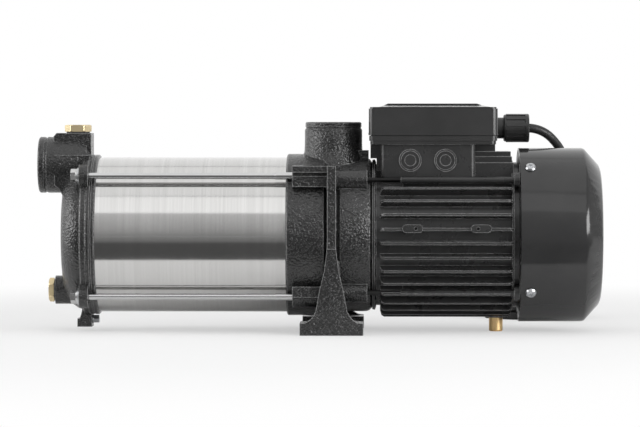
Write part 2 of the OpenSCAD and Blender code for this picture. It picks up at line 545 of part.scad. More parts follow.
// rings of a tube along a path, each square to the path
function rings(p, r, n) = [for (i = [0:len(p) - 1]) let (
    d = unit(i == 0 ? p[1] - p[0] : i == len(p) - 1 ? p[i] - p[i - 1] : p[i + 1] - p[i - 1]),
    s = unit(cross(d, abs(d[1]) < 0.9 ? [0, 1, 0] : [1, 0, 0])), t = cross(s, d))
  for (k = [0:n - 1]) p[i] + r * (cos(k * 360 / n) * s + sin(k * 360 / n) * t)];
module tube(p, r, n) polyhedron(points = rings(p, r, n), faces = concat(
  [[for (k = [0:n - 1]) k]],
  [for (i = [0:len(p) - 2]) for (k = [0:n - 1]) let (m = (k + 1) % n)
    [i * n + k, (i + 1) * n + k, (i + 1) * n + m, i * n + m]],
  [[for (k = [n - 1:-1:0]) (len(p) - 1) * n + k]]));
path = [[150, GY, GZ], [163.8, GY, GZ], [168.4, 24.3, 167.7], [172.9, 25.1, 166.4], [177.3, 26.4, 164.3],
  [181.2, 28.3, 161.5], [184.5, 30.7, 158.3], [187.3, 33.6, 155.1], [189.7, 36.7, 151.9], [191.7, 40, 148.6],
  [193.4, 43.5, 145.2], [195.4, 49.5, 139.1], [196.3, 55.4, 132.5], [196.4, 61, 125.6], [195.9, 66.2, 118.3],
  [195, 70.7, 110.7], [194.1, 74.7, 102.8], [193.2, 78.4, 93], [192.5, 82, 81], [192.2, 85.4, 67],
  [192.6, 89.5, 53], [193.8, 95, 40], [195.6, 102.5, 28.4], [198, 112, 18.6], [201, 123.5, 10.9],
  [204.4, 136.5, 6], [208.2, 150, 4], [212.2, 163, 3.75], [215.2, 174, 3.75], [217, 185, 3.75]];
tail = [[186.5, 227, 38.5], [194.8, 225.9, 38.1], [202.5, 222.7, 36.8], [209.1, 217.6, 34.8], [214.2, 211, 32.4],
  [217.4, 203.3, 29.8], [218.5, 195, 27.6], [217.1, 186.1, 25.6], [212.9, 176, 22.8], [206.2, 167.3, 19.5]];
module cable() color([0.07, 0.07, 0.07]) union() {
  tube(path, cable_d / 2, 8);
  tube(tail, cable_d / 2, 8);
}
module cable_coil() color([0.07, 0.07, 0.07]) translate([CX, CY, 0]) rotate_extrude($fn = 96) union() {
  for (q = [[34.6, 3.75], [42, 3.75], [34.6, 11.1], [42, 11.1], [42, 18.5]]) translate(q) circle(r = 3.75, $fn = 32);
}
// the plug lies on the coil and points away from its lead
module on_coil() translate([CX + 10, CY + 30, 38.5]) rotate([0, -90, 0]) children();
module plug_body() color([0.08, 0.08, 0.08]) on_coil() difference() {
  rotate_extrude($fn = 64) polygon([[0, -5], [5.2, -5], [5.8, -4], [6.6, 8], [10.5, 15], [14, 19.5], [15.2, 23],
    [15.2, 38], [16.2, 39], [16.2, 42], [15.4, 43], [0, 43]]);
  for (s = [-1, 1]) translate([0, s * 9.5, 41.5]) cylinder(r = 2.4, h = 3, $fn = 32);
}
module plug_pins() color([0.85, 0.8, 0.6]) on_coil() for (s = [-1, 1]) translate([0, s * 9.5, 41.5])
  rotate_extrude($fn = 32) polygon([[0, 0], [2.4, 0], [2.4, 19], [1.6, 20], [0, 20]]);

suction_cover();
priming_plug();
priming_seal();
drain_plug();
drain_seal();
ground_screw();
barrel();
barrel_gasket_front();
barrel_gasket_rear();
tie_bolts();
tie_bolt_washers();
stage_casing(0);  // stage_casing_1
stage_casing(1);  // stage_casing_2
stage_casing(2);  // stage_casing_3
stage_casing(3);  // stage_casing_4
stage_casing(4);  // stage_casing_5
diffuser(0);  // diffuser_1
diffuser(1);  // diffuser_2
diffuser(2);  // diffuser_3
diffuser(3);  // diffuser_4
diffuser(4);  // diffuser_5
impeller(0);  // impeller_1
impeller(1);  // impeller_2
impeller(2);  // impeller_3
impeller(3);  // impeller_4
impeller(4);  // impeller_5
shaft();
impeller_nut();
spacer_sleeve();
discharge_bracket();
seal_seat();
seal_head();
b_outer(15, 12, 0, 20, 14.25, 3.37);  // front_bearing_outer
b_balls(15, 12, 14.25, 3.37, 8);  // front_bearing_balls
b_inner(15, 12, 8.5, 14.25, 3.37);  // front_bearing_inner
b_outer(143 + RS, 11, 0, 17.5, 12.5, 2.98);  // rear_bearing_outer
b_balls(143 + RS, 11, 12.5, 2.98, 8);  // rear_bearing_balls
b_inner(143 + RS, 11, 7.5, 12.5, 2.98);  // rear_bearing_inner
rotor_core();
stator_core();
stator_winding();
motor_housing();
motor_bolts();
support_leg();
rear_shield();
fan();
fan_cover();
cover_screws();
terminal_base();
terminal_gasket();
terminal_lid();
lid_screws();
terminal_block();
capacitor();
gland_body();
gland_nut();
cable();
cable_coil();
plug_body();
plug_pins();
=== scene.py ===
# %% [markdown]
# # A multistage surface pump in Blender
# The pump comes from CAD as sixty named solids, already at their true size and place. This
# notebook puts a camera and a small studio round them, lays the mains cable as a real curve,
# and gives every piece the finish of the real one: gloss paint over rough iron, brushed
# stainless steel, satin die-cast aluminium, moulded plastic, zinc, brass and rubber.
# Everything is in metres, with X along the shaft, Z up, and the floor at Z = 0.

import math

import bmesh
import bpy
from mathutils import Matrix, Vector


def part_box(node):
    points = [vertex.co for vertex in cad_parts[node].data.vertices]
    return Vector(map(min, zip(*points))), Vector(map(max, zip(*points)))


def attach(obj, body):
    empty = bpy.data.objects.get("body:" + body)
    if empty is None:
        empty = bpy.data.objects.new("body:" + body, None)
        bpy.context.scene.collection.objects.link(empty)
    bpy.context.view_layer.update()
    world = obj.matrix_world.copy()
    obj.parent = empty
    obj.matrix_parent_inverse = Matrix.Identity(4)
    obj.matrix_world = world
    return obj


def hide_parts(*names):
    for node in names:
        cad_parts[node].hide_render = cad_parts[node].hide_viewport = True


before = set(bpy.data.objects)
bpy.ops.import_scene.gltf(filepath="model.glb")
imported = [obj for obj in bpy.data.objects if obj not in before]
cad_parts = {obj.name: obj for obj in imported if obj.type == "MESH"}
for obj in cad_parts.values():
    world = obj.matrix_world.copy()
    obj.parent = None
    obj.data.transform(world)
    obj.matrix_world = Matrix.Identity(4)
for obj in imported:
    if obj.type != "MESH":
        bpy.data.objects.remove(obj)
nodes = dict(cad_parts)  # a copy, in which a rounded piece takes its node's place later on
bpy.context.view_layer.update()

# %% [markdown]
# ## The camera
# The photograph was taken from far away with a long lens, level with the middle of the pump,
# so its sides hardly converge. One could use an orthographic camera, but a real lens shows a
# little of the far foot and of the top of the box. The camera stands 2.75 m off, turned one
# degree to the motor's side and raised one and a half, and the focal length follows from the
# width that the picture takes in at the shaft: 0.83 mm for each of its 640 pixels.

# %% Set up the camera
AIM = Vector((-0.0104, 0.0, 0.0974))
DISTANCE = 2.75
PICTURE_WIDTH = 640 * 0.00083
SENSOR_WIDTH = 36.0
turn, rise = math.radians(1.0), math.radians(1.5)
back = Vector((math.sin(turn) * math.cos(rise), -math.cos(turn) * math.cos(rise), math.sin(rise)))
camera = bpy.data.objects.new("camera", bpy.data.cameras.new("camera"))
bpy.context.collection.objects.link(camera)
camera.location = AIM + back * DISTANCE
camera.rotation_mode = "QUATERNION"
camera.rotation_quaternion = (-back).to_track_quat("-Z", "Y")
camera.data.sensor_width = SENSOR_WIDTH
camera.data.lens = SENSOR_WIDTH * DISTANCE / PICTURE_WIDTH
camera.data.clip_end = 60.0
bpy.context.scene.camera = camera
print("lens", round(camera.data.lens, 1), "mm")

# %% [markdown]
# ## Node helpers
# Materials are built from nodes. Two small helpers keep that readable: one adds a node, sets
# its options and fills or links its inputs, the other starts a node group with named inputs
# and outputs. A group is an effect that many finishes share, so it is drawn only once.

# %% Helpers that add nodes and groups
def add(tree, kind, options=None, **inputs):
    made = tree.nodes.new(kind)
    for option, value in (options or {}).items():
        setattr(made, option, value)
    for name, value in inputs.items():
        socket = made.inputs[int(name[1:]) if name[1:].isdigit() else name.replace("_", " ")]
        if isinstance(value, bpy.types.NodeSocket):
            tree.links.new(value, socket)
        else:
            socket.default_value = value
    return made


def start_group(name, inputs, outputs):
    tree = bpy.data.node_groups.new(name, "ShaderNodeTree")
    for label, kind, value in inputs:
        made = tree.interface.new_socket(label, in_out="INPUT", socket_type=kind)
        if value is not None:
            made.default_value = value
    for label, kind in outputs:
        tree.interface.new_socket(label, in_out="OUTPUT", socket_type=kind)
    return tree, add(tree, "NodeGroupInput"), add(tree, "NodeGroupOutput")


def maths(tree, operation, a, b=0.0, c=0.0):
    return add(tree, "ShaderNodeMath", {"operation": operation}, i0=a, i1=b, i2=c).outputs[0]


FLOAT, VECTOR = "NodeSocketFloat", "NodeSocketVector"
groups = {}

# %% [markdown]
# ## Effect: orange peel over a sand casting
# Iron cast in sand is lumpy at two scales, and gloss paint pulls it into soft droplets. A
# displacement would need millions of faces. A height for the Bump node does the same for the
# eye: soft cells for the droplets, a finer noise on them, and a broad noise that lets both fade
# in patches. The group also gives a mask of the low places between the lumps, where a finish paints shade as
# a darker colour.

# %% Build the cast surface group
BEND_PER_LUMP, FINE_PER_LUMP = 0.5, 1.9  # scale of the two noises, as a share of the lumps' own
BEND_DEPTH = 0.0026  # how far the first noise can push the cells, in metres


def build_cast_surface():
    tree, given, out = start_group(
        "cast surface",
        [("Place", VECTOR, None), ("Lumps per metre", FLOAT, 420.0), ("Fine share", FLOAT, 0.35),
         ("Patchiness", FLOAT, 0.5)],
        [("Height", FLOAT), ("Hollow shade", FLOAT)])
    place, lumps = given.outputs["Place"], given.outputs["Lumps per metre"]
    bend = add(tree, "ShaderNodeTexNoise", {"noise_dimensions": "3D"}, Vector=place,
               Scale=maths(tree, "MULTIPLY", lumps, BEND_PER_LUMP), Detail=2.0)
    shifted = add(tree, "ShaderNodeVectorMath", {"operation": "MULTIPLY_ADD"},
                  i0=bend.outputs["Color"], i1=(BEND_DEPTH, BEND_DEPTH, BEND_DEPTH), i2=place)
    cells = add(tree, "ShaderNodeTexVoronoi", {"feature": "SMOOTH_F1"}, Vector=shifted.outputs[0],
                Scale=lumps, Smoothness=0.6, Randomness=1.0)
    fine = add(tree, "ShaderNodeTexNoise", Vector=place,
               Scale=maths(tree, "MULTIPLY", lumps, FINE_PER_LUMP), Detail=3.0, Roughness=0.6)
    patch = add(tree, "ShaderNodeTexNoise", Vector=place, Scale=38.0, Detail=1.0)
    where = add(tree, "ShaderNodeMapRange", Value=patch.outputs["Fac"], From_Min=0.38, From_Max=0.6)
    amount = add(tree, "ShaderNodeMix", {"data_type": "FLOAT"}, i0=given.outputs["Patchiness"], i2=1.0,
                 i3=where.outputs[0])
    droplets = maths(tree, "SUBTRACT", 1.0, cells.outputs["Distance"])
    mixed = maths(tree, "MULTIPLY_ADD", fine.outputs["Fac"], given.outputs["Fine share"], droplets)
    height = maths(tree, "MULTIPLY", mixed, amount.outputs[0])
    # Painted shade: this mask is 1 in the low places between the lumps, where a finish mixes in its darker
    # colour.
    hollow_shade = add(tree, "ShaderNodeMapRange", Value=mixed, From_Min=0.95, From_Max=0.55)
    tree.links.new(height, out.inputs["Height"])
    tree.links.new(hollow_shade.outputs[0], out.inputs["Hollow shade"])
    return tree


groups["cast"] = build_cast_surface()
print("group", groups["cast"].name)

# %% [markdown]
# ## Effect: lines left by brushing, rolling or drawing
# A brushed tube carries thousands of hair lines, all one way. Noise that is squeezed along one
# direction and stretched along the others gives them. The three stretch numbers say how many
# lines there are for each metre along X, Y and Z, so the same group serves the barrel (lines
# round it), a drawn rod (lines along it) and a turned plug.

# %% Build the brushed lines group
BAND_PER_LINE = (0.09, 0.3, 0.3)  # the broad bands' stretch, as a share of the hair lines' own
BAND_SHARE = 0.45


def build_brushed_lines():
    tree, given, out = start_group(
        "brushed lines",
        [("Place", VECTOR, None), ("Lines per metre", VECTOR, (4000.0, 40.0, 40.0)),
         ("Cloudiness", FLOAT, 0.3)],
        [("Height", FLOAT), ("Streaks", FLOAT)])
    spread = add(tree, "ShaderNodeVectorMath", {"operation": "MULTIPLY"}, i0=given.outputs["Place"],
                 i1=given.outputs["Lines per metre"])
    hair = add(tree, "ShaderNodeTexNoise", Vector=spread.outputs[0], Scale=1.0, Detail=4.0,
               Roughness=0.65)
    wide = add(tree, "ShaderNodeVectorMath", {"operation": "MULTIPLY"}, i0=spread.outputs[0],
               i1=BAND_PER_LINE)
    bands = add(tree, "ShaderNodeTexNoise", Vector=wide.outputs[0], Scale=1.0, Detail=2.0)
    cloud = add(tree, "ShaderNodeTexNoise", Vector=given.outputs["Place"], Scale=24.0, Detail=2.0)
    streaks = add(tree, "ShaderNodeMix", {"data_type": "FLOAT"}, i0=BAND_SHARE, i2=hair.outputs["Fac"],
                  i3=bands.outputs["Fac"])
    clouded = add(tree, "ShaderNodeMix", {"data_type": "FLOAT"}, i0=given.outputs["Cloudiness"],
                  i2=streaks.outputs[0], i3=cloud.outputs["Fac"])
    full_range = add(tree, "ShaderNodeMapRange", Value=clouded.outputs[0], From_Min=0.33, From_Max=0.67)
    tree.links.new(hair.outputs["Fac"], out.inputs["Height"])
    tree.links.new(full_range.outputs[0], out.inputs["Streaks"])
    return tree


groups["lines"] = build_brushed_lines()
print("group", groups["lines"].name)

# %% [markdown]
# ## Effect: handling marks
# Nothing that people bolt together stays evenly shiny. Hands, cloths and dust leave broad soft
# patches and a few fine specks. The group turns them into one mask that a finish uses for its
# roughness and, faintly, for its colour.

# %% Build the handling marks group
def build_handling():
    tree, given, out = start_group(
        "handling marks",
        [("Place", VECTOR, None), ("Patches per metre", FLOAT, 30.0), ("Specks", FLOAT, 0.25)],
        [("Marks", FLOAT)])
    broad = add(tree, "ShaderNodeTexNoise", Vector=given.outputs["Place"],
                Scale=given.outputs["Patches per metre"], Detail=4.0, Roughness=0.55, Distortion=0.4)
    speck = add(tree, "ShaderNodeTexNoise", Vector=given.outputs["Place"], Scale=1900.0, Detail=1.0)
    fine = add(tree, "ShaderNodeMapRange", Value=speck.outputs["Fac"], From_Min=0.58, From_Max=0.72)
    soft = add(tree, "ShaderNodeMapRange", Value=broad.outputs["Fac"], From_Min=0.35, From_Max=0.68)
    both = maths(tree, "MULTIPLY_ADD", fine.outputs[0], given.outputs["Specks"], soft.outputs[0])
    tree.links.new(add(tree, "ShaderNodeClamp", Value=both).outputs[0], out.inputs["Marks"])
    return tree


groups["handling"] = build_handling()
print("group", groups["handling"].name)

# %% [markdown]
# ## Effect: painted highlight on outer edges
# A rounded outer edge catches a thin line of light. This group paints that highlight into the
# colour as a lighter grey along the edge. Where the normal of a Bevel node leans away from the
# true normal, an edge is near, however large the faces are. Pointiness tells outer edges from
# inner ones. A fine noise breaks the line up, so the edge isn't outlined like a drawing.

# %% Build the painted edge highlight group
def build_edge_highlight_group():
    tree, given, out = start_group(
        "painted edge highlight",
        [("Place", VECTOR, None), ("Reach", FLOAT, 0.0006), ("Amount", FLOAT, 0.6)],
        [("Edge", FLOAT)])
    shape = add(tree, "ShaderNodeNewGeometry")
    softened = add(tree, "ShaderNodeBevel", {"samples": 6}, Radius=given.outputs["Reach"])
    agree = add(tree, "ShaderNodeVectorMath", {"operation": "DOT_PRODUCT"}, i0=softened.outputs[0],
                i1=shape.outputs["Normal"])
    near = add(tree, "ShaderNodeMapRange", Value=agree.outputs["Value"], From_Min=0.985, From_Max=0.9)
    outer = add(tree, "ShaderNodeMapRange", Value=shape.outputs["Pointiness"], From_Min=0.49, From_Max=0.51)
    broken = add(tree, "ShaderNodeTexNoise", Vector=given.outputs["Place"], Scale=420.0, Detail=3.0)
    kept = add(tree, "ShaderNodeMapRange", Value=broken.outputs["Fac"], From_Min=0.3, From_Max=0.55,
               To_Min=0.6)
    line = maths(tree, "MULTIPLY", near.outputs[0], outer.outputs[0])
    painted_edge_light = maths(tree, "MULTIPLY", maths(tree, "MULTIPLY", line, kept.outputs[0]), given.outputs["Amount"])
    tree.links.new(painted_edge_light, out.inputs["Edge"])
    return tree


groups["edges"] = build_edge_highlight_group()
print("group", groups["edges"].name)

# %% [markdown]
# ## One recipe for every finish
# All finishes follow the same recipe: a Principled BSDF, two colours mixed by a mask, a
# roughness that moves a little with the handling marks, and a Bump fed by one of the surface
# groups. The Bump starts from a Bevel node, which rounds the highlight on edges that are too
# small to model. Numbers that are the same all over stay on the shader's own sockets.

# %% Write the finish recipe
def finish(name, colour, second, rough, metal=0.0, surface=None, feed=None, depth=0.0, mask=None,
           patches=30.0, rounding=0.0, edge=None, reach=0.0006, edge_amount=0.6, round_axis=None,
           **fixed):
    material = bpy.data.materials.new(name)
    material.use_nodes = True
    tree = material.node_tree
    tree.nodes.clear()
    out = add(tree, "ShaderNodeOutputMaterial")
    shader = add(tree, "ShaderNodeBsdfPrincipled", Metallic=metal, **fixed)
    tree.links.new(shader.outputs[0], out.inputs["Surface"])
    place = add(tree, "ShaderNodeTexCoord").outputs["Object"]
    marks = add(tree, "ShaderNodeGroup", {"node_tree": groups["handling"]}, Place=place,
                Patches_per_metre=patches).outputs["Marks"]
    texture = None
    if surface:
        texture = add(tree, "ShaderNodeGroup", {"node_tree": groups[surface]}, Place=place, **(feed or {}))
    chosen = texture.outputs[mask] if mask else marks
    tint = add(tree, "ShaderNodeMix", {"data_type": "RGBA"}, i0=chosen, i6=(*colour, 1.0),
               i7=(*second, 1.0))
    shade = tint.outputs[2]
    # A given edge colour is a painted highlight, mixed in along outer edges.
    if edge:
        painted_edge_light = add(tree, "ShaderNodeGroup", {"node_tree": groups["edges"]}, Place=place, Reach=reach,
                   Amount=edge_amount).outputs["Edge"]
        shade = add(tree, "ShaderNodeMix", {"data_type": "RGBA"}, i0=painted_edge_light, i6=shade,
                    i7=(*edge, 1.0)).outputs[2]
    tree.links.new(shade, shader.inputs["Base Color"])
    span = add(tree, "ShaderNodeMapRange", Value=marks, To_Min=rough[0], To_Max=rough[1])
    tree.links.new(span.outputs[0], shader.inputs["Roughness"])
    normal = add(tree, "ShaderNodeBevel", {"samples": 4}, Radius=rounding).outputs[0] if rounding else None
    if texture and depth:
        bump = add(tree, "ShaderNodeBump", Distance=depth, Strength=1.0, Height=texture.outputs["Height"])
        if normal:
            tree.links.new(normal, bump.inputs["Normal"])
        normal = bump.outputs[0]
    if normal:
        tree.links.new(normal, shader.inputs["Normal"])
    if round_axis:
        around = add(tree, "ShaderNodeTangent", {"direction_type": "RADIAL", "axis": round_axis})
        tree.links.new(around.outputs[0], shader.inputs["Tangent"])
    return material


def paint(material, *names):
    for name in names:
        node = nodes[name]
        if not node.material_slots:
            node.data.materials.append(material)
        for slot in node.material_slots:
            slot.link = "OBJECT"
            slot.material = material
    print(material.name, "on", len(names), "pieces")

# %% [markdown]
# ## The studio
# The barrel is nearly a mirror, so what it shows is the studio. In the photograph one can read
# it band by band: a broad soft light above the front, a grey room behind the camera, a dark
# strip low in front, and the pale table close by. Four area lamps give the light here. Three
# glow cards stand for the room, the white backdrop and the dark cloth in front. They are seen
# only in reflections, so they neither shade the pump nor show in the picture.

# %% Build the floor, the lamps and the glow cards
SHAFT = (0, 0, 0.08)  # every lamp but the overhead one looks at the shaft, above the foot


def stage_card(name, corners):
    mesh = bpy.data.meshes.new(name)
    mesh.from_pydata(corners, [], [(0, 1, 2, 3)])
    card = bpy.data.objects.new(name, mesh)
    bpy.context.collection.objects.link(card)
    return card


def soft_lamp(name, place, target, width, height, watts):
    light = bpy.data.lights.new(name, "AREA")
    light.shape, light.size, light.size_y, light.energy = "RECTANGLE", width, height, watts
    lamp = bpy.data.objects.new(name, light)
    bpy.context.collection.objects.link(lamp)
    lamp.location = place
    lamp.rotation_mode = "QUATERNION"
    lamp.rotation_quaternion = (Vector(target) - Vector(place)).to_track_quat("-Z", "Y")
    return lamp


def from_pump(elevation, distance, side=0.0):
    up = math.radians(elevation)
    return (side, -distance * math.cos(up), SHAFT[2] + distance * math.sin(up))


def floor_material():
    material = bpy.data.materials.new("pale table")
    material.use_nodes = True
    tree = material.node_tree
    tree.nodes.clear()
    out = add(tree, "ShaderNodeOutputMaterial")
    place = add(tree, "ShaderNodeTexCoord").outputs["Object"]
    grain = add(tree, "ShaderNodeTexNoise", Vector=place, Scale=60.0, Detail=3.0)
    tone = add(tree, "ShaderNodeMix", {"data_type": "RGBA"}, i0=grain.outputs["Fac"],
               i6=(0.86, 0.86, 0.86, 1), i7=(0.88, 0.88, 0.88, 1))
    table = add(tree, "ShaderNodeBsdfDiffuse", Color=tone.outputs[2])
    white = add(tree, "ShaderNodeEmission", Color=(1, 1, 1, 1), Strength=1.0)
    away = add(tree, "ShaderNodeVectorMath", {"operation": "LENGTH"}, i0=place)
    fade = add(tree, "ShaderNodeMapRange", {"interpolation_type": "SMOOTHSTEP"},
               Value=away.outputs["Value"], From_Min=0.36, From_Max=0.9)
    seen = add(tree, "ShaderNodeLightPath").outputs["Is Camera Ray"]
    lifted = add(tree, "ShaderNodeMapRange", Value=fade.outputs[0], To_Min=0.5, To_Max=1.0)
    share = maths(tree, "MULTIPLY", lifted.outputs[0], seen)
    both = add(tree, "ShaderNodeMixShader", i0=share, i1=table.outputs[0], i2=white.outputs[0])
    tree.links.new(both.outputs[0], out.inputs["Surface"])
    return material


def glow_card(name, corners, axis, stops):
    card = stage_card(name, corners)
    for way in ("visible_camera", "visible_diffuse", "visible_shadow", "visible_transmission"):
        setattr(card, way, False)
    material = bpy.data.materials.new(name)
    material.use_nodes = True
    tree = material.node_tree
    tree.nodes.clear()
    out = add(tree, "ShaderNodeOutputMaterial")
    place = add(tree, "ShaderNodeSeparateXYZ", Vector=add(tree, "ShaderNodeTexCoord").outputs["Object"])
    first, last = stops[0][0], stops[-1][0]
    along = add(tree, "ShaderNodeMapRange", Value=place.outputs[axis], From_Min=first, From_Max=last)
    ramp = add(tree, "ShaderNodeValToRGB", Fac=along.outputs[0])
    ends = ramp.color_ramp.elements
    ends[0].color, ends[1].color = [(grey, grey, grey, 1.0) for grey in (stops[0][1], stops[-1][1])]
    for where, grey in stops[1:-1]:
        ends.new((where - first) / (last - first)).color = (grey, grey, grey, 1.0)
    glow = add(tree, "ShaderNodeEmission", Color=ramp.outputs["Color"], Strength=1.0)
    tree.links.new(glow.outputs[0], out.inputs["Surface"])
    card.data.materials.append(material)


def lying(half_width, near, far, z):
    return [(-half_width, near, z), (half_width, near, z), (half_width, far, z), (-half_width, far, z)]


def standing(half_width, y, top):
    return [(-half_width, y, 0.0), (half_width, y, 0.0), (half_width, y, top), (-half_width, y, top)]


table = stage_card("table", lying(7, -7, 7, 0.0))
table.data.materials.append(floor_material())
# Each stop of a glow card is a place along its axis and the grey there.
glow_card("dark cloth in front", lying(1.6, -3.0, -0.142, 0.001), "Y",
          [(-3.0, 0.3), (-0.65, 0.2), (-0.5, 0.14), (-0.42, 0.085), (-0.142, 0.085)])
glow_card("room behind the camera", standing(3.4, -3.4, 2.4), "Z", [(0.0, 0.24), (1.2, 0.4), (2.4, 0.6)])
glow_card("white backdrop", standing(3.6, 1.9, 2.9), "Z", [(0.0, 0.9), (0.6, 1.0), (2.9, 0.9)])
soft_lamp("front softbox", from_pump(46, 1.9, -0.1), SHAFT, width=2.6, height=0.86, watts=5.0)
soft_lamp("overhead softbox", (0.1, 0.05, 2.0), (0.1, 0.05, SHAFT[2]), width=2.6, height=2.3, watts=10)
soft_lamp("left softbox", (-1.55, -0.25, 0.45), SHAFT, width=1.4, height=0.6, watts=12)
soft_lamp("right softbox", (1.35, -0.95, 0.45), SHAFT, width=1.3, height=0.6, watts=20)
world = bpy.data.worlds.new("studio room")
bpy.context.scene.world = world
world.use_nodes = True
room = world.node_tree
room.nodes.clear()
room_grey = add(room, "ShaderNodeBackground", Color=(0.42, 0.42, 0.42, 1), Strength=1.0)
room_white = add(room, "ShaderNodeBackground", Color=(1, 1, 1, 1), Strength=1.0)
room_seen = add(room, "ShaderNodeLightPath").outputs["Is Camera Ray"]
room_mix = add(room, "ShaderNodeMixShader", i0=room_seen, i1=room_grey.outputs[0], i2=room_white.outputs[0])
room.links.new(room_mix.outputs[0], add(room, "ShaderNodeOutputWorld").inputs["Surface"])
bpy.context.scene.view_settings.view_transform = "Standard"
print("studio ready")

# %% [markdown]
# ## The mains cable
# A three-core rubber lead, 7.5 mm thick and about 1.5 m long, is one curve from gland to plug.
# The photograph shows it leave the gland, arch over and go down behind the fan cover. The rest
# is put away behind the motor: the route leads it to the table, five turns make a coil two
# turns wide, and its end climbs over the coil to the plug that lies on top. The route's points
# are given in millimetres, and the coil's turns are worked out. A curve
# object with a round bevel keeps the cable round, whatever the bends do. The bevel is 1 m and
# each point's radius 3.75 mm, because Blender adds the radius to the curve's box.

# %% Lay the cable
MM = 0.001
CABLE_RADIUS = 0.00375
ARCH = [(150, 24, 168.3), (163.8, 24, 168.3), (168.4, 24.3, 167.7), (172.9, 25.1, 166.4),
        (177.3, 26.4, 164.3), (181.2, 28.3, 161.5), (184.5, 30.7, 158.3), (187.3, 33.6, 155.1),
        (189.7, 36.7, 151.9), (191.7, 40, 148.6), (193.4, 43.5, 145.2), (195.4, 49.5, 139.1),
        (196.3, 55.4, 132.5), (196.4, 61, 125.6), (195.9, 66.2, 118.3), (195, 70.7, 110.7),
        (194.1, 74.7, 102.8), (193.2, 78.4, 93), (192.5, 82, 81), (192.2, 85.4, 67),
        (192.6, 89.5, 53), (193.8, 95, 40), (195.6, 102.5, 28.4), (198, 112, 18.6),
        (201, 123.5, 10.9), (204.4, 136.5, 6), (208.2, 150, 4), (212.2, 163, 3.75),
        (215.2, 174, 3.75)]
CLIMB = [(212.9, 176, 22.8), (217.1, 186.1, 25.6), (218.5, 195, 27.6), (217.4, 203.3, 29.8),
         (214.2, 211, 32.4), (209.1, 217.6, 34.8), (202.5, 222.7, 36.8), (194.8, 225.9, 38.1),
         (186.5, 227, 38.5)]
COIL_CENTRE = (176.5, 197.0)
COIL_TURNS = [(42.0, 3.75), (34.6, 3.75), (34.6, 11.1), (42.0, 11.1), (42.0, 18.5)]  # radius, height
COIL_START, COIL_END_SHORT = -16.5, 45  # degrees: where it begins, and how far it stops short
PER_TURN = 20
STAYS = 0.82  # the share of a turn that keeps its radius and height before it moves to the next


def coil_points():
    turns, last = len(COIL_TURNS), len(COIL_TURNS) - 1
    start, end = math.radians(COIL_START), math.radians(turns * 360 - COIL_END_SHORT)
    steps = turns * PER_TURN
    made = []
    for i in range(steps + 1):
        share = i / steps
        turn_now = share * turns
        k = min(int(turn_now), last)
        ease = max(0.0, (turn_now - k - STAYS) / (1 - STAYS)) if k < last else 0.0
        ease = ease * ease * (3 - 2 * ease)
        here, after = COIL_TURNS[k], COIL_TURNS[min(k + 1, last)]
        radius, height = (a + (b - a) * ease for a, b in zip(here, after))
        angle = start + (end - start) * share
        made.append((COIL_CENTRE[0] + radius * math.cos(angle),
                     COIL_CENTRE[1] + radius * math.sin(angle), height))
    return made


def smooth_curve(name, points, radius, sides=4):
    curve = bpy.data.curves.new(name, "CURVE")
    curve.dimensions, curve.bevel_depth, curve.bevel_resolution = "3D", 1.0, sides
    curve.use_fill_caps, curve.resolution_u = True, 5
    spline = curve.splines.new("BEZIER")
    spline.bezier_points.add(len(points) - 1)
    for knot, point in zip(spline.bezier_points, points):
        knot.co, knot.radius = Vector(point) * MM, radius
        knot.handle_left_type = knot.handle_right_type = "AUTO"
    made = bpy.data.objects.new(name, curve)
    bpy.context.collection.objects.link(made)
    return made


lead = smooth_curve("mains_lead", ARCH + coil_points() + CLIMB, CABLE_RADIUS)
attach(lead, "pump")
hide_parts("cable", "cable_coil")
print("cable points", len(lead.data.splines[0].bezier_points))

# %% [markdown]
# ### The tie round the coil
# A releasable tie holds the turns together. It is one closed strap that follows the outline of
# the five turns in a cut across the coil, a little off them, with a lock box on the outside and
# its tail standing off. Its outline comes from the turns' own places, so it fits however the
# coil is wound: for each direction, the furthest turn plus its radius and the gap.

# %% Make the coil tie
# The strap's outline in shares of its width and thickness, with its four long edges chamfered.
STRAP = [(-0.5, 0.15), (-0.42, 0.0), (0.42, 0.0), (0.5, 0.15), (0.5, 0.85), (0.42, 1.0), (-0.42, 1.0),
         (-0.5, 0.85)]
STRAP_STEPS = 72
# Under the coil the strap is flat: its outer face just above the table, its inner one higher.
ABOVE_TABLE, INSIDE_HIGHER = 0.0002, 0.0004
LOCK_SIZE, LOCK_OUT, LOCK_UP = (0.0038, 0.0066, 0.0062), 0.0022, 0.013
TAIL_THICK, TAIL_LONG, TAIL_MOVE = 0.0011, 0.0085, (0.0004, 0, 0.005)


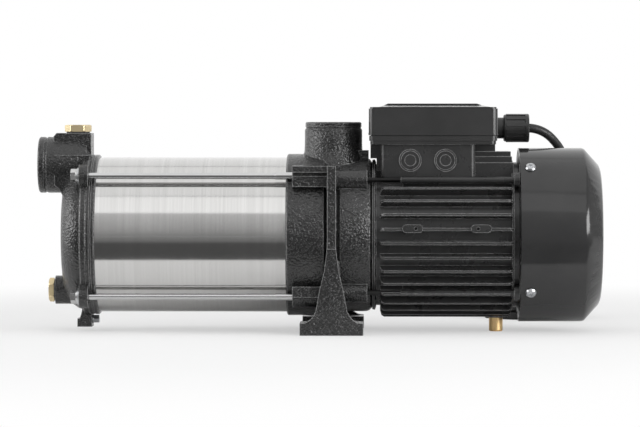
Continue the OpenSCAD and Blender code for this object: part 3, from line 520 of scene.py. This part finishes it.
def coil_tie(angle_deg, width=0.0046, thick=0.0009, gap=0.0003):
    angle = math.radians(angle_deg)
    out_way = Vector((math.cos(angle), math.sin(angle), 0.0))
    side_way = Vector((-math.sin(angle), math.cos(angle), 0.0))
    centre = Vector((COIL_CENTRE[0], COIL_CENTRE[1], 0.0)) * MM
    turns = [Vector((r * MM, z * MM)) for r, z in COIL_TURNS]
    tool = bmesh.new()
    rings = []
    for i in range(STRAP_STEPS):
        around = 2 * math.pi * i / STRAP_STEPS
        way = Vector((math.cos(around), math.sin(around)))
        far = max(turns, key=lambda turn_at: turn_at.dot(way))
        ring = []
        for across, lift in STRAP:
            r, z = far + way * (CABLE_RADIUS + gap + thick * lift)
            z = max(z, ABOVE_TABLE + INSIDE_HIGHER * (1 - lift))
            point = centre + out_way * r + side_way * (across * width) + Vector((0, 0, z))
            ring.append(tool.verts.new(point))
        rings.append(ring)
    count = len(STRAP)
    for i in range(STRAP_STEPS):
        a, b = rings[i], rings[(i + 1) % STRAP_STEPS]
        for k in range(count):
            tool.faces.new((a[k], b[k], b[(k + 1) % count], a[(k + 1) % count]))
    coil_radius = max(r for r, z in COIL_TURNS) * MM
    lock_at = centre + out_way * (coil_radius + CABLE_RADIUS + gap + LOCK_OUT) + Vector((0, 0, LOCK_UP))
    turned = Matrix((out_way, side_way, (0, 0, 1))).transposed().to_4x4()
    for size, move in ((LOCK_SIZE, (0, 0, 0)), ((TAIL_THICK, width, TAIL_LONG), TAIL_MOVE)):
        place = Matrix.Translation(lock_at) @ turned @ Matrix.Translation(move) @ Matrix.Diagonal((*size, 1))
        bmesh.ops.create_cube(tool, size=1.0, matrix=place)
    bmesh.ops.recalc_face_normals(tool, faces=tool.faces)
    mesh = bpy.data.meshes.new("coil_tie")
    tool.to_mesh(mesh)
    tool.free()
    tie = bpy.data.objects.new("coil_tie", mesh)
    bpy.context.collection.objects.link(tie)
    soft = tie.modifiers.new("rounded edges", "BEVEL")
    soft.width, soft.segments = 0.00025, 2
    soft.limit_method, soft.angle_limit = "ANGLE", math.radians(40)
    bpy.context.view_layer.update()
    tie.data = bpy.data.meshes.new_from_object(tie.evaluated_get(bpy.context.evaluated_depsgraph_get()))
    tie.modifiers.clear()
    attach(tie, "pump")
    return tie


tie = coil_tie(200.0)
print("coil tie faces", len(tie.data.polygons))

# %% [markdown]
# ## Real edges on the castings and mouldings
# CAD edges are perfectly sharp, and a sharp edge never catches the light. Castings, die
# castings and mouldings have edges a fraction of a millimetre round, and the bright line along
# them is what makes them look solid. Each of these nodes is replaced by a copy of itself. Flat
# areas are merged to whole faces first, because slivers would stop a bevel early. Then every
# edge sharper than 30 degrees is rounded, and the faces between are shaded smooth. The raised
# field of the lid also gets its front slope here, cut by a wedge: seen so flat, it mirrors the
# bright backdrop as a white line under the field's dark edge.

# %% Round the edges of the larger pieces
def rounded(name, body, width, segments=2, angle=30.0, cutter=None):
    mesh = nodes[name].data.copy()
    tool = bmesh.new()
    tool.from_mesh(mesh)
    bmesh.ops.remove_doubles(tool, verts=tool.verts, dist=0.000002)
    bmesh.ops.dissolve_limit(tool, angle_limit=math.radians(0.5), verts=tool.verts, edges=tool.edges,
                             use_dissolve_boundaries=False)
    tool.to_mesh(mesh)
    tool.free()
    if "custom_normal" in mesh.attributes:
        mesh.attributes.remove(mesh.attributes["custom_normal"])
    mesh.polygons.foreach_set("use_smooth", [True] * len(mesh.polygons))
    mesh.set_sharp_from_angle(angle=math.radians(angle))
    piece = bpy.data.objects.new(name + "_rounded", mesh)
    bpy.context.collection.objects.link(piece)
    if cutter:
        cut = piece.modifiers.new("sloped front", "BOOLEAN")
        cut.operation, cut.solver, cut.object = "DIFFERENCE", "EXACT", cutter
    edge = piece.modifiers.new("rounded edges", "BEVEL")
    edge.width, edge.segments, edge.limit_method = width, segments, "ANGLE"
    edge.angle_limit, edge.harden_normals, edge.miter_outer = math.radians(angle), True, "MITER_ARC"
    bpy.context.view_layer.update()
    final = bpy.data.meshes.new_from_object(piece.evaluated_get(bpy.context.evaluated_depsgraph_get()))
    piece.modifiers.clear()
    piece.data = final
    final.materials.clear()
    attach(piece, body)
    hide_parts(name)
    nodes[name] = piece
    print(name, "rounded", len(final.polygons), "faces")


def prism(name, x0, x1, outline):
    count = len(outline)
    mesh = bpy.data.meshes.new(name)
    points = [(x, y, z) for x in (x0, x1) for y, z in outline]
    sides = [(k, (k + 1) % count, count + (k + 1) % count, count + k) for k in range(count)]
    mesh.from_pydata(points, [], sides + [tuple(range(count))[::-1], tuple(range(count, 2 * count))])
    shape = bpy.data.objects.new(name, mesh)
    bpy.context.collection.objects.link(shape)
    return shape


# The raised field starts PLATEAU_IN from the lid's front and is PLATEAU_UP high. Its slope runs
# back over SLOPE_RUN and ends LIP_UP under its top.
PLATEAU_IN, SLOPE_RUN, PLATEAU_UP, LIP_UP = 0.0072, 0.05, 0.0032, 0.0014
BEFORE_FRONT, ABOVE_BASE = 0.0002, 0.00015  # the wedge starts just clear of the field's own faces
PAST_SIDES, PAST_FIELD = 0.01, 0.004  # how far the wedge reaches past what it cuts
lid_low, lid_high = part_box("terminal_lid")
front, top = lid_low[1] + PLATEAU_IN - BEFORE_FRONT, lid_high[2]
field_base = top - PLATEAU_UP + ABOVE_BASE
slope_cutter = prism("slope_cutter", lid_low[0] - PAST_SIDES, lid_high[0] + PAST_SIDES,
                     [(front - PAST_FIELD, field_base), (front, field_base),
                      (front + SLOPE_RUN, top - LIP_UP), (front + SLOPE_RUN, top + PAST_FIELD),
                      (front - PAST_FIELD, top + PAST_FIELD)])
EDGE_WIDTHS = {"suction_cover": 0.0007, "discharge_bracket": 0.0007, "motor_housing": 0.00025,
               "rear_shield": 0.0003, "fan_cover": 0.0005, "terminal_lid": 0.0005,
               "terminal_base": 0.0004, "gland_nut": 0.0003, "gland_body": 0.0003,
               "tie_bolt_washers": 0.0002, "plug_body": 0.0004}
for name, width in EDGE_WIDTHS.items():
    rounded(name, "pump", width, cutter=slope_cutter if name == "terminal_lid" else None)
bpy.data.objects.remove(slope_cutter)

# %% [markdown]
# ## Finishes for the iron castings
# The suction cover and the discharge bracket are grey iron, sand cast and dipped in gloss
# black. A clear coat over the paint would be the first thought, but the coat ignores the bump
# and veils the lumps, so the paint's own gloss is raised in its place.

# %% Paint the iron castings
# Its edge colour is a painted highlight along the outer edges.
# Its second, darker colour is painted shade in the low places between the lumps.
cast_black = finish("gloss paint on cast iron", (0.025, 0.025, 0.025), (0.014, 0.014, 0.014), (0.12, 0.2),
                    surface="cast", feed={"Lumps_per_metre": 620.0, "Fine_share": 0.35, "Patchiness": 0.2},
                    depth=0.0006, mask="Hollow shade", edge=(0.4, 0.4, 0.4), reach=0.001, edge_amount=0.75,
                    Specular_IOR_Level=0.75)
paint(cast_black, "suction_cover", "discharge_bracket")
# Its edge colour is a painted highlight along the outer edges, the fin tips included.
motor_black = finish("satin paint on the motor", (0.023, 0.023, 0.0232), (0.03, 0.03, 0.03), (0.22, 0.34),
                     surface="cast", feed={"Lumps_per_metre": 700.0, "Fine_share": 0.8, "Patchiness": 0.8},
                     depth=0.000006, edge=(0.42, 0.42, 0.42), reach=0.0006, edge_amount=0.85,
                     Specular_IOR_Level=0.5)
paint(motor_black, "motor_housing", "rear_shield")
cover_black = finish("paint on the fan cover", (0.024, 0.024, 0.0244), (0.029, 0.029, 0.029), (0.1, 0.15),
                     surface="cast", feed={"Lumps_per_metre": 1200.0, "Fine_share": 0.9, "Patchiness": 0.9},
                     depth=0.000015, Specular_IOR_Level=0.5)
paint(cover_black, "fan_cover")

# %% [markdown]
# ## Finishes for the metal parts
# Each metal is told apart by its colour and by the lines its making left: brushed round the
# barrel, drawn along the rods, turned round the plugs, stacked sheets in the motor's core.

# %% Finish the metal parts
barrel_steel = finish("brushed stainless barrel", (0.63, 0.625, 0.615), (0.74, 0.735, 0.725),
                      (0.17, 0.2), metal=1.0, surface="lines",
                      feed={"Lines_per_metre": (4200.0, 12.0, 12.0), "Cloudiness": 0.1},
                      depth=0.000004, mask="Streaks", round_axis="X", Anisotropic=0.92,
                      Anisotropic_Rotation=0.25)
paint(barrel_steel, "barrel")
rod_steel = finish("drawn stainless rods", (0.6, 0.6, 0.6), (0.72, 0.72, 0.72), (0.14, 0.26), metal=1.0,
                   surface="lines", feed={"Lines_per_metre": (60.0, 2600.0, 2600.0), "Cloudiness": 0.2},
                   depth=0.00001, mask="Streaks", rounding=0.0004)
paint(rod_steel, "tie_bolts", "shaft", "impeller_nut", "spacer_sleeve")
zinc = finish("bright zinc plating", (0.62, 0.63, 0.64), (0.5, 0.51, 0.53), (0.2, 0.42), metal=1.0,
              surface="cast", feed={"Lumps_per_metre": 1500.0, "Fine_share": 0.8}, depth=0.00003,
              rounding=0.0003, patches=160.0)
paint(zinc, "tie_bolt_washers", "ground_screw", "cover_screws", "lid_screws")
STAGES = range(1, 6)
stage_steel = finish("pressed stainless stages", (0.56, 0.56, 0.56), (0.7, 0.7, 0.7), (0.2, 0.32), metal=1.0,
                     surface="lines", feed={"Lines_per_metre": (2400.0, 30.0, 30.0), "Cloudiness": 0.4},
                     depth=0.00001, mask="Streaks")
paint(stage_steel, *[f"stage_casing_{k}" for k in STAGES], *[f"impeller_{k}" for k in STAGES])
dark_steel = finish("blackened steel bolts", (0.03, 0.03, 0.03), (0.05, 0.05, 0.05), (0.3, 0.5), metal=1.0,
                    surface="cast", feed={"Lumps_per_metre": 1300.0}, depth=0.00003, rounding=0.0003)
paint(dark_steel, "motor_bolts")
brass = finish("turned brass plugs", (0.97, 0.83, 0.55), (0.88, 0.72, 0.43), (0.32, 0.46), metal=1.0,
               surface="lines", feed={"Lines_per_metre": (400.0, 400.0, 1800.0), "Cloudiness": 0.6},
               depth=0.00002, mask="Streaks", rounding=0.0004)
paint(brass, "priming_plug", "drain_plug", "plug_pins")
leg_brass = finish("plated support leg", (0.98, 0.72, 0.37), (0.88, 0.6, 0.29), (0.3, 0.42), metal=1.0,
                   surface="lines", feed={"Lines_per_metre": (2200.0, 2200.0, 40.0), "Cloudiness": 0.3},
                   depth=0.00001, mask="Streaks", rounding=0.0003)
paint(leg_brass, "support_leg")
bearing_steel = finish("ground bearing steel", (0.55, 0.55, 0.56), (0.66, 0.66, 0.67), (0.12, 0.22),
                       metal=1.0, surface="lines", feed={"Lines_per_metre": (3000.0, 50.0, 50.0)},
                       depth=0.00001, mask="Streaks")
paint(bearing_steel, "front_bearing_outer", "front_bearing_balls", "front_bearing_inner",
      "rear_bearing_outer", "rear_bearing_balls", "rear_bearing_inner")
lamination = finish("stacked core sheets", (0.2, 0.2, 0.21), (0.4, 0.4, 0.4), (0.35, 0.55), metal=0.9,
                    surface="lines", feed={"Lines_per_metre": (2000.0, 4.0, 4.0), "Cloudiness": 0.1},
                    depth=0.00006, mask="Streaks")
paint(lamination, "stator_core")
rotor_alu = finish("die-cast rotor", (0.5, 0.5, 0.5), (0.35, 0.35, 0.36), (0.3, 0.5), metal=1.0,
                   surface="lines", feed={"Lines_per_metre": (2000.0, 4.0, 4.0), "Cloudiness": 0.2},
                   depth=0.00004, mask="Streaks")
paint(rotor_alu, "rotor_core")
copper = finish("varnished copper winding", (0.6, 0.26, 0.12), (0.36, 0.13, 0.05), (0.25, 0.4), metal=0.8,
                surface="lines", feed={"Lines_per_metre": (900.0, 900.0, 900.0), "Cloudiness": 0.2},
                depth=0.0003, mask="Streaks", Coat_Weight=0.6)
paint(copper, "stator_winding")

# %% [markdown]
# ## Finishes for plastic, rubber and ceramic
# Moulded plastic shows the spark-eroded grain of its mould. Rubber is duller and picks up
# dust. The wet parts inside are glass-filled plastic, paler along their flow lines.

# %% Finish the plastic and rubber parts
box_plastic = finish("moulded box plastic", (0.027, 0.027, 0.027), (0.033, 0.033, 0.033), (0.1, 0.16),
                     surface="cast", feed={"Lumps_per_metre": 1600.0, "Fine_share": 1.0, "Patchiness": 1.0},
                     depth=0.000005, Specular_IOR_Level=0.45)
paint(box_plastic, "terminal_base", "terminal_lid")
gland_plastic = finish("gland nylon", (0.02, 0.02, 0.02), (0.028, 0.028, 0.028), (0.26, 0.4),
                       surface="cast", feed={"Lumps_per_metre": 1800.0, "Fine_share": 1.0},
                       depth=0.00002)
paint(gland_plastic, "gland_body", "gland_nut")
white_plastic = finish("white moulded plastic", (0.7, 0.7, 0.67), (0.62, 0.61, 0.57), (0.25, 0.4),
                       surface="cast", feed={"Lumps_per_metre": 1800.0, "Fine_share": 1.0},
                       depth=0.00002)
paint(white_plastic, "capacitor", "terminal_block")
rubber = finish("seal rubber", (0.02, 0.02, 0.02), (0.035, 0.035, 0.035), (0.6, 0.8), surface="cast",
                feed={"Lumps_per_metre": 2200.0, "Fine_share": 1.0}, depth=0.00005)
paint(rubber, "barrel_gasket_front", "barrel_gasket_rear", "priming_seal", "drain_seal", "terminal_gasket")
cable_rubber = finish("cable rubber", (0.013, 0.013, 0.013), (0.02, 0.02, 0.02), (0.38, 0.5), surface="cast",
                      feed={"Lumps_per_metre": 2600.0, "Fine_share": 1.0}, depth=0.00004, patches=60.0)
lead.data.materials.append(cable_rubber)
tie_nylon = finish("coil tie nylon", (0.02, 0.02, 0.021), (0.03, 0.03, 0.03), (0.28, 0.42), surface="lines",
                   feed={"Lines_per_metre": (300.0, 300.0, 900.0)}, depth=0.00004, mask="Streaks")
tie.data.materials.append(tie_nylon)
paint(cable_rubber, "plug_body")
diffuser_plastic = finish("glass-filled diffuser plastic", (0.08, 0.08, 0.085), (0.14, 0.14, 0.14),
                          (0.35, 0.5), surface="lines",
                          feed={"Lines_per_metre": (300.0, 300.0, 300.0), "Cloudiness": 0.6},
                          depth=0.00004, mask="Streaks")
paint(diffuser_plastic, *[f"diffuser_{k}" for k in STAGES])
fan_plastic = finish("fan plastic", (0.03, 0.03, 0.032), (0.05, 0.05, 0.05), (0.4, 0.55), surface="cast",
                     feed={"Lumps_per_metre": 1400.0}, depth=0.00004)
paint(fan_plastic, "fan")
seal_carbon = finish("turned seal carbon", (0.04, 0.04, 0.042), (0.08, 0.08, 0.085), (0.15, 0.35),
                     surface="lines", feed={"Lines_per_metre": (200.0, 2000.0, 2000.0)},
                     depth=0.00002, mask="Streaks")
paint(seal_carbon, "seal_head")
seal_ceramic = finish("lapped seal ceramic", (0.72, 0.7, 0.64), (0.64, 0.62, 0.57), (0.12, 0.25),
                      surface="cast", feed={"Lumps_per_metre": 2400.0, "Fine_share": 1.0},
                      depth=0.00001)
paint(seal_ceramic, "seal_seat")

# %% [markdown]
# At the end the view layer is brought up to date.

# %% Bring the scene up to date
bpy.context.view_layer.update()
